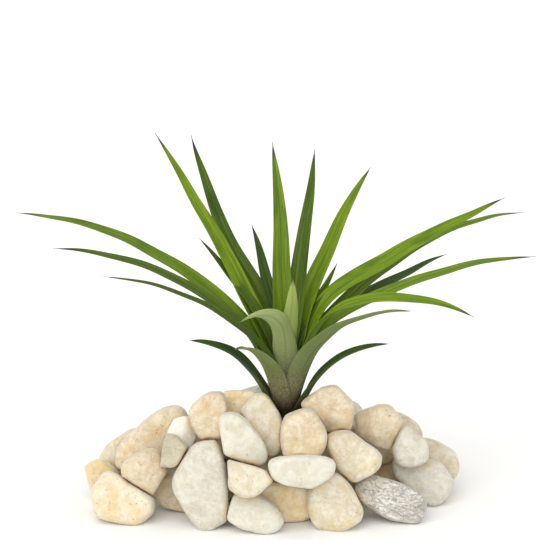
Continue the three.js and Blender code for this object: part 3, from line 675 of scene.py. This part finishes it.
stoneForm = {
    "faceUp": 13,  # how far the outlined faces look up
    "detail": 6,
    "backDetail": 5,
    "wornFlats": 4,
    "flatNear": 0.74,  # share of the way out at which the worn flats lie
    "flatFar": 0.95,
    "broadNear": 0.82,  # the same for those on the two broad faces
    "steepest": 0.78,  # least share by which a flat faces to the front or back
    "bluntness": 3.8,  # of the rim between the broad faces: 2 is an ellipse, more is squarer
    "roundness": 14,  # of the rims of the flats, in the same measure
    "cornerSharpness": 14,
    "swell": 0.4 * mm,  # how much they fill of the gaps between them
    "lumpSize": 8 * mm,
    "lumpHeight": 0.9 * mm,
    "dentSize": 3 * mm,
    "dentHeight": 0.25 * mm,
    "creviceShadeReach": 5 * mm,  # how near another stone must be for painted crevice shade
    "coreGrain": 0.8 * mm,
    "coreSmoothing": 6,
}

# pale, main and warm: the stone's own tints. blush: the rosy or grey tint of its clouds. patch: share of it
# that is warm. fleck: its specks and pits, and many: how much of it they take. wrinkles: how strongly it is
# creased.
stoneLooks = {
    "ivory": {"pale": "dbd8ca", "main": "cecbbc", "warm": "d4c494", "blush": "c3bba6", "patch": 0.35,
              "fleck": "8c8266", "many": 0.4, "wrinkles": 0},
    "cream": {"pale": "ddd6c4", "main": "cac0a6", "warm": "d0b67e", "blush": "c2af94", "patch": 0.5,
              "fleck": "7e6d4a", "many": 0.5, "wrinkles": 0},
    "straw": {"pale": "e2dbc8", "main": "d7ccb0", "warm": "dabf7c", "blush": "d0b998", "patch": 0.5,
              "fleck": "9c7424", "many": 1, "wrinkles": 0},
    "honey": {"pale": "cfbd98", "main": "b99f76", "warm": "b98f50", "blush": "ad9068", "patch": 0.5,
              "fleck": "6b4f2a", "many": 0.5, "wrinkles": 0},
    "tan": {"pale": "ddd2ba", "main": "c8b898", "warm": "ccab74", "blush": "c4ab8c", "patch": 0.45,
            "fleck": "7b6342", "many": 0.6, "wrinkles": 0},
    # painted light: a lighter, warmer tan for stones that lie deep in shade
    "sandyLit": {"pale": "f2e6c8", "main": "e8d2a4", "warm": "e2bb72", "blush": "dec196", "patch": 0.5,
              "fleck": "8b6d42", "many": 0.6, "wrinkles": 0},
    "ash": {"pale": "dad7ca", "main": "ccc7b6", "warm": "cbbb92", "blush": "bdb49f", "patch": 0.35,
            "fleck": "6e6a5a", "many": 0.4, "wrinkles": 0.15},
    # painted light: a whiter ivory for a stone that lies in shade
    "whiteLit": {"pale": "f3f0e6", "main": "ebe7da", "warm": "e3d3a4", "blush": "dcd4c2", "patch": 0.3,
              "fleck": "8c8266", "many": 0.4, "wrinkles": 0},
    # painted shade: a darker ash for a stone that stands in the light
    "dullShaded": {"pale": "c2bca6", "main": "b0a88e", "warm": "b29a66", "blush": "a19478", "patch": 0.4,
             "fleck": "6e6a5a", "many": 0.5, "wrinkles": 0},
    "slate": {"pale": "dedad1", "main": "ccc8be", "warm": "c0b6a2", "blush": "b5aca0", "patch": 0.35,
              "fleck": "625b52", "many": 0.6, "wrinkles": 1},
}

# The first three are painted shade where other stones come near: a broad warm tint, then golden-brown and
# dark lines at the contacts. The scales are waves a metre.
stoneSurface = {
    "warmShade": "d9c092",
    "creviceShade": "ad8446",
    "deepCreviceShade": "533313",
    "patchScale": 70,
    "driftScale": 130,
    "driftOffset": (0.3, 0.1, 0.2),
    "cloudScale": 260,
    "speckleScale": 900,
    "grainScale": 1500,
    "speckScale": 560,
    "speckSquash": (1, 1, 1.6),
    "speckFieldScale": 230,
    "wrinkleScale": (170, 170, 620),
    "wrinkleSlant": -0.35,
    "roughness": 0.62,
    "shine": 0.35,
    "bloom": 0.3,
    "reliefHeight": 0.8 * mm,
    "reliefStrength": 0.6,
}


def makeStoneMaterial(name, look):
    material, start, shader = newMaterial("stone_" + name)
    surface = stoneSurface
    spot = start.node("TexCoord", None, None, out=3)
    moved = spot.scaled((1, 1, 1), surface["driftOffset"])
    near = start.node("Attribute", {"attribute_name": "creviceShade"}, None, out=2)
    broad = spot.noise(surface["patchScale"], detail=3, roughness=0.55, distortion=0.8)
    drifts = moved.noise(surface["driftScale"], detail=4, roughness=0.6, distortion=1.2)
    clouds = spot.noise(surface["cloudScale"], detail=5, roughness=0.68, distortion=0.5)
    grain = spot.noise(surface["grainScale"], detail=3, roughness=0.7)
    speckle = spot.noise(surface["speckleScale"], detail=5, roughness=0.75)

    tint = clouds.ramp(0.36, 0.64).mix(colour(look["main"]), colour(look["pale"]))
    warmth = broad.ramp(0.64 - look["patch"] * 0.32, 0.86 - look["patch"] * 0.25)
    tint = (warmth * 0.75).mix(tint, colour(look["warm"]))
    tint = (drifts.ramp(0.46, 0.68) * 0.6).mix(tint, colour(look["blush"]))
    tint = ((1 - drifts.ramp(0.3, 0.44)) * 0.5).mix(tint, colour(look["pale"]))

    tint = (speckle.ramp(0.5, 0.64) * (0.12 + look["many"] * 0.4)).mix(tint, colour(look["warm"]))
    tint = ((1 - speckle.ramp(0.36, 0.48)) * 0.4).mix(tint, colour(look["pale"]))

    specks = 1 - spot.scaled(surface["speckSquash"]).cells(surface["speckScale"]).ramp(0.05, 0.22)
    field = spot.noise(surface["speckFieldScale"], detail=2)
    pits = specks * field.ramp(0.62 - look["many"] * 0.18, 0.7 - look["many"] * 0.14)
    tint = (pits * 0.75).mix(tint, colour(look["fleck"]))
    tint = (grain.ramp(0.56, 0.8) * 0.22).mix(tint, colour(look["fleck"]))

    height = clouds * 0.8 + drifts * 0.4 + speckle * 0.3 + grain * 0.2 - pits * 0.9
    if look["wrinkles"] > 0:
        slant = {"Vector": spot, "Angle": surface["wrinkleSlant"]}
        lying = spot.node("VectorRotate", {"rotation_type": "Y_AXIS"}, slant)
        warped = lying.scaled(surface["wrinkleScale"]).noise(1, detail=5, roughness=0.68, distortion=1.4)
        creases = 1 - (warped - 0.5).maths("ABSOLUTE").ramp(0.002, 0.035)
        tint = (creases * 0.65 * look["wrinkles"]).mix(tint, colour(look["fleck"]))
        height = height - creases * 0.6 * look["wrinkles"]
    # painted shade: warm near other stones, then golden-brown and dark where they touch
    tint = (near.ramp(0.2, 0.8) * 0.4).mix(tint, colour(surface["warmShade"]))
    tint = (near.ramp(0.68, 0.93) * 0.7).mix(tint, colour(surface["creviceShade"]))
    tint = (near.ramp(0.8, 0.96) * 0.85).mix(tint, colour(surface["deepCreviceShade"]))
    connect(tint, shader, "Base Color")
    connect(surface["roughness"] + (clouds - 0.5) * 0.2 + pits * 0.2, shader, "Roughness")
    connect(height.relief(surface["reliefStrength"], surface["reliefHeight"]), shader, "Normal")
    shader.inputs["Specular IOR Level"].default_value = surface["shine"]
    shader.inputs["Sheen Weight"].default_value = surface["bloom"]
    return material


def noiseTexture(name, size, depth):
    texture = bpy.data.textures.new(name, "CLOUDS")
    texture.noise_scale = size
    texture.noise_depth = depth
    return texture


stoneMaterials = {name: makeStoneMaterial(name, look) for name, look in stoneLooks.items()}
lumps = noiseTexture("lumps", stoneForm["lumpSize"], 1)
dents = noiseTexture("dents", stoneForm["dentSize"], 2)


def randomFrom(seed):
    state = seed * 2654435761 & 0xffffffff
    while True:
        state = ((state ^ state >> 15) * 2246822519 + 3266489917) & 0xffffffff
        yield (state ^ state >> 13) / 2 ** 32


# A flat is a vector that faces out of it, and its length is one over its distance from the stone's middle.
def flatsOf(stone):
    form = stoneForm
    chance = randomFrom(stone["seed"])
    flats = [(0, side / form["broadNear"], 0) for side in (-1, 1)]
    for i in range(form["wornFlats"]):
        height = 2 * next(chance) - 1
        if "outline" in stone:
            height = math.copysign(form["steepest"] + (1 - form["steepest"]) * abs(height), height)
        angle = 2 * math.pi * next(chance)
        level = math.sqrt(1 - height * height)
        near = form["flatNear"] + (form["flatFar"] - form["flatNear"]) * next(chance)
        flats.append((level * math.cos(angle) / near, height / near, level * math.sin(angle) / near))
    return numpy.array(flats)


def sidesOf(stone, length, width):
    if "outline" not in stone:
        return numpy.array([(1, 0, 0), (-1, 0, 0), (0, 0, 1), (0, 0, -1)])
    corners = [(2 * x / length, 2 * z / width) for x, z in stone["outline"]]
    sides = []
    for (x, z), (nextX, nextZ) in zip(corners, corners[1:] + corners[:1]):
        away = (nextZ - z, x - nextX)
        reach = away[0] * x + away[1] * z
        sides.append((away[0] / reach, 0, away[1] / reach))
    return numpy.array(sides)


def blend(measures, power):
    return (measures ** power).sum(axis=1) ** (1 / power)


def reachPast(flats, points):
    return numpy.maximum(0, points @ flats.T)


# How far out each point lies on a stone of unit size, 1 on its skin.
def gaugeAt(stone, sides, points):
    form = stoneForm
    sharpness = form["cornerSharpness"] if "outline" in stone else form["bluntness"]
    around = blend(reachPast(sides, points), sharpness)
    broad = numpy.array([(0, 1, 0), (0, -1, 0)])
    pillow = blend(numpy.column_stack([around, reachPast(broad, points)]), form["bluntness"])
    return blend(numpy.column_stack([pillow, reachPast(flatsOf(stone), points)]), form["roundness"])


def spanOf(outline, axis):
    places = [corner[axis] for corner in outline]
    return max(places) - min(places)


def shapeStone(piece, stone, nodeName):
    if "outline" in stone:
        length, width = (spanOf(stone["outline"], axis) for axis in (0, 1))
        thickness = stone["thickness"]
    else:
        length, width, thickness = stone["size"]
    mesh = piece.data
    points = numpy.empty(len(mesh.vertices) * 3)
    mesh.vertices.foreach_get("co", points)
    points = points.reshape(-1, 3)
    points = points / gaugeAt(stone, sidesOf(stone, length, width), points)[:, None]
    size = numpy.array([length, thickness, width]) * mm + stoneForm["swell"]
    points = points * size / numpy.ptp(points, axis=0)
    lean = stone.get("lean", stoneForm["faceUp"] if "outline" in stone else 0)
    spin = Matrix.Rotation(math.radians(stone.get("yaw", 0)), 3, "Z")
    spin = spin @ Matrix.Rotation(math.radians(-lean), 3, "X")
    spin = spin @ Matrix.Rotation(math.radians(-stone.get("turn", 0)), 3, "Y")
    points = points @ numpy.array(spin).T
    low, high = (numpy.array(corner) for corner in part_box(nodeName))
    middle = (points.min(axis=0) + points.max(axis=0)) / 2
    home = (low + high) / 2 - middle
    home[2] = high[2] - points[:, 2].max()
    mesh.vertices.foreach_set("co", (points + home).ravel())
    mesh.update()


def dentStone(piece):
    applyModifier(piece, "lumps", "DISPLACE", texture=lumps, texture_coords="LOCAL",
                  strength=stoneForm["lumpHeight"], mid_level=0.5)
    applyModifier(piece, "dents", "DISPLACE", texture=dents, texture_coords="LOCAL",
                  strength=stoneForm["dentHeight"], mid_level=0.5)
    for vertex in piece.data.vertices:
        vertex.co.z = max(vertex.co.z, 0)
    shadeSmooth(piece)


# Marks how near the other stones come, in an attribute that the stones' material reads to paint shade in
# the crevices.
def markCreviceShade(piece, nodeName):
    reach = stoneForm["creviceShadeReach"]
    low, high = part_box(nodeName)
    corners, faces = [], []
    for name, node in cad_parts.items():
        otherLow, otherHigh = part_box(name)
        apart = any(otherLow[k] > high[k] + reach or low[k] > otherHigh[k] + reach for k in range(3))
        if name == nodeName or not name.startswith("pebble") or apart:
            continue
        faces += [[i + len(corners) for i in polygon.vertices] for polygon in node.data.polygons]
        corners += [node.matrix_world @ vertex.co for vertex in node.data.vertices]
    marks = piece.data.attributes.new("creviceShade", "FLOAT", "POINT")
    if not faces:
        return
    others = BVHTree.FromPolygons(corners, faces)
    nearness = []
    for vertex in piece.data.vertices:
        distance = others.find_nearest(vertex.co, reach)[3]
        nearness.append(0 if distance is None else 1 - distance / reach)
    marks.data.foreach_set("value", nearness)


def makeBall(detail):
    deselect()
    bpy.ops.mesh.primitive_ico_sphere_add(subdivisions=detail, radius=1)
    return bpy.context.object


less = 0
frontBall = makeBall(stoneForm["detail"] - less)
backBall = makeBall(stoneForm["backDetail"] - less)
for index, stone in enumerate(stones, 1):
    nodeName = f"pebble_{index:02d}"
    ball = frontBall if "outline" in stone else backBall
    piece = ball.copy()
    piece.data = ball.data.copy()
    piece.name = nodeName + "_stone"
    piece.data.name = piece.name
    bpy.context.collection.objects.link(piece)
    shapeStone(piece, stone, nodeName)
    dentStone(piece)
    markCreviceShade(piece, nodeName)
    piece.data.materials.append(stoneMaterials[stone.get("look", stone["tone"])])
    place(piece, nodeName)
bpy.data.objects.remove(frontBall)
bpy.data.objects.remove(backBall)

core = copyNode("pebble_core", "pebble_core_stones")
applyModifier(core, "round", "SUBSURF", levels=1, render_levels=1)
core.data.remesh_voxel_size = stoneForm["coreGrain"]
activate(core)
bpy.ops.object.voxel_remesh()
applyModifier(core, "settle", "SMOOTH", factor=0.5, iterations=stoneForm["coreSmoothing"])
dentStone(core)
markCreviceShade(core, "pebble_core")
core.data.materials.append(stoneMaterials["tan"])
place(core, "pebble_core")
print("stones are laid:", len(stones) + 1)
